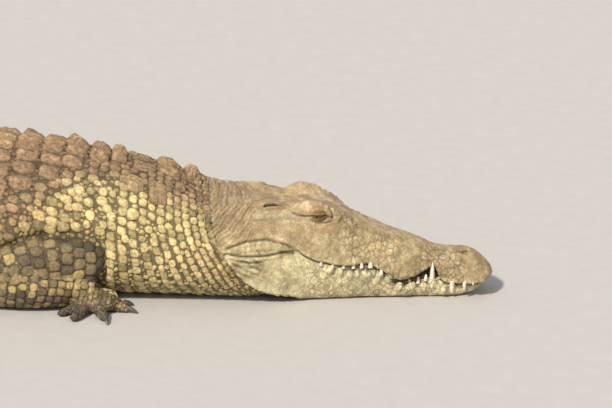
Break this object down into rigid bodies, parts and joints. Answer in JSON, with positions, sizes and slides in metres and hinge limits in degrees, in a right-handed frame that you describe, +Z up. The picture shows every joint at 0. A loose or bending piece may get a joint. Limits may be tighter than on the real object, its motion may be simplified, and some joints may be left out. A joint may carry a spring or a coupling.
{
  "type": "nile crocodile",
  "caption": "Adult Nile crocodile lying flat on its belly, head forward and mouth almost closed, forelegs bent beside the chest, tail curved to one side; a still museum figure.",
  "frame": {"origin": "middle of the footprint's bounding box, on the ground", "axes": "+X towards the snout, +Y to the animal's left, +Z up"},
  "size_m": [3.7834, 1.0826, 0.3238],
  "materials": {
    "hide": "dry rough scales, tan brown with pale grooved flanks",
    "head_hide": "dry tan skin close over bone",
    "jaw_hide": "smooth pale cream skin",
    "limb_hide": "large dark and yellow scales",
    "horn": "dull dark horn",
    "eye": "wet golden eye"
  },
  "bodies": {
    "root": {"eye_left": "eye", "eye_right": "eye", "foot_claw_1_left": "horn", "foot_claw_1_right": "horn", "foot_claw_2_left": "horn", "foot_claw_2_right": "horn", "foot_claw_3_left": "horn", "foot_claw_3_right": "horn", "foot_left": "limb_hide", "foot_right": "limb_hide", "forearm_left": "limb_hide", "forearm_right": "limb_hide", "hand_claw_1_left": "horn", "hand_claw_1_right": "horn", "hand_claw_2_left": "horn", "hand_claw_2_right": "horn", "hand_claw_3_left": "horn", "hand_claw_3_right": "horn", "hand_left": "limb_hide", "hand_right": "limb_hide", "head": "head_hide", "lower_jaw": "jaw_hide", "neck": "hide", "shank_left": "limb_hide", "shank_right": "limb_hide", "tail_base": "hide", "tail_middle": "hide", "tail_rear": "hide", "tail_tip": "hide", "thigh_left": "limb_hide", "thigh_right": "limb_hide", "trunk": "hide", "upper_arm_left": "limb_hide", "upper_arm_right": "limb_hide"}
  },
  "joints": []
}
